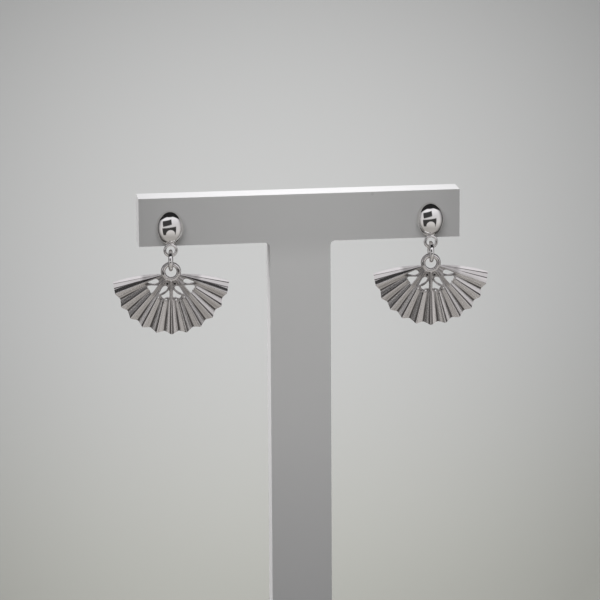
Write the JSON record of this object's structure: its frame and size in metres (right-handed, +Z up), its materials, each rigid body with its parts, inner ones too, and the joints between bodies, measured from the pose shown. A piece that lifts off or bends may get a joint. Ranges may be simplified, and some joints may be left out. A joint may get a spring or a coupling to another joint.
{
  "type": "pair of fan drop earrings on a t-bar earring stand",
  "caption": "Polished oval studs with linked rings carry pierced, pleated fan drops, hung at the ends of a plain T-shaped display stand.",
  "frame": {"origin": "middle of the underside of the stand's foot plate", "axes": "X runs along the bar with the right earring at +X, the earrings hang on the front, which faces -Y, and +Z points up"},
  "size_m": [0.0653, 0.035, 0.09],
  "materials": {
    "stand": "matte",
    "metal": "polished"
  },
  "bodies": {
    "stand": {"stand_tee": "stand", "stand_base": "stand", "stud_left": "metal", "stud_right": "metal", "ear_nut_left": "metal", "ear_nut_right": "metal"},
    "link_left": {"jump_ring_left": "metal"},
    "drop_left": {"fan_left": "metal"},
    "link_right": {"jump_ring_right": "metal"},
    "drop_right": {"fan_right": "metal"}
  },
  "joints": [
    {"name": "link_swing_left", "type": "hinge", "parent": "stand", "child": "link_left", "pos_m": [-0.0227, -0.00377, 0.08015], "axis": [-1, 0, 0], "range_deg": [-65, 80]},
    {"name": "fan_swing_left", "type": "hinge", "parent": "link_left", "child": "drop_left", "pos_m": [-0.0227, -0.00377, 0.07781], "axis": [0.1219, 0.9925, 0], "range_deg": [-30, 30]},
    {"name": "link_swing_right", "type": "hinge", "parent": "stand", "child": "link_right", "pos_m": [0.0227, -0.00377, 0.08015], "axis": [-1, 0, 0], "range_deg": [-65, 80]},
    {"name": "fan_swing_right", "type": "hinge", "parent": "link_right", "child": "drop_right", "pos_m": [0.0227, -0.00377, 0.07781], "axis": [0.0349, 0.9994, 0], "range_deg": [-30, 30]}
  ]
}
